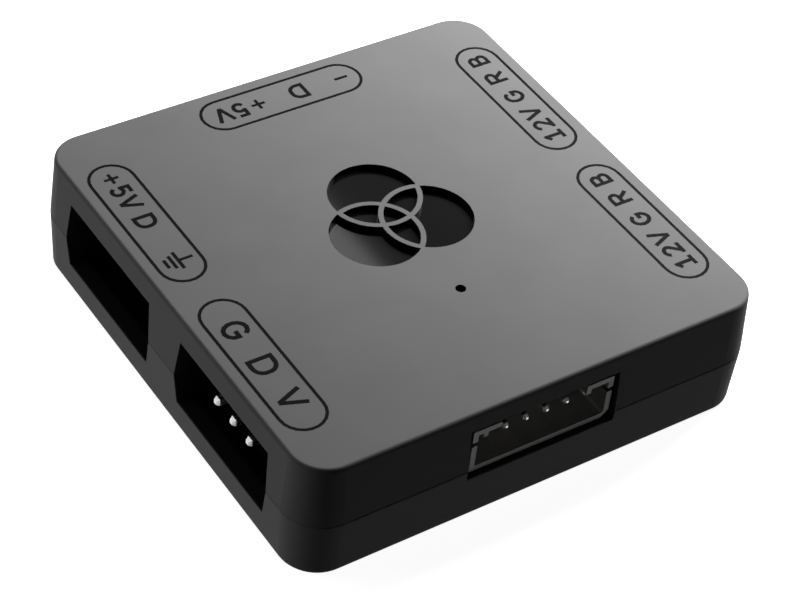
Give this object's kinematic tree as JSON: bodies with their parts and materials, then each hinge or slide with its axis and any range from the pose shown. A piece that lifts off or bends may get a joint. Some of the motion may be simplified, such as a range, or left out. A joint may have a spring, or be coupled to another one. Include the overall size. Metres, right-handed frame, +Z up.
{
  "type": "voltage converter for computer light strips",
  "caption": "Flat square plastic housing with rounded corners, pin-header sockets in its side and back walls, a shrouded power inlet in the front wall and a recessed emblem on top.",
  "frame": {"origin": "middle of the underside", "axes": "+X to the wall with the two 12 V outlets, +Y to the back wall with one outlet, +Z up; the power inlet is in the -Y wall"},
  "size_m": [0.045, 0.0452, 0.0117],
  "materials": {
    "housing": "fine satin paint, dark grey",
    "board": "solder mask over glass fibre",
    "header_black": "moulded, black",
    "shroud": "moulded, natural",
    "contacts": "bright tin plating",
    "steel": "nickel plated",
    "package_black": "moulded epoxy",
    "can": "drawn can",
    "ceramic": "fired",
    "lamp": "clear resin"
  },
  "bodies": {
    "root": {"top_cover": "housing", "bottom_cover": "housing", "circuit_board": "board", "board_screws": "steel", "power_header_shroud": "shroud", "power_header_pins": "contacts", "left_rear_header_base": "header_black", "left_rear_header_pins": "contacts", "left_front_header_base": "header_black", "left_front_header_pins": "contacts", "right_rear_header_base": "header_black", "right_rear_header_pins": "contacts", "right_front_header_base": "header_black", "right_front_header_pins": "contacts", "back_header_base": "header_black", "back_header_pins": "contacts", "controller_chip": "package_black", "power_regulator": "package_black", "transistor_green": "package_black", "transistor_red": "package_black", "transistor_blue": "package_black", "input_diode": "package_black", "input_capacitor": "can", "output_capacitor": "can", "power_choke": "package_black", "ceramic_capacitors": "ceramic", "resistors": "package_black", "status_led": "lamp"}
  },
  "joints": []
}
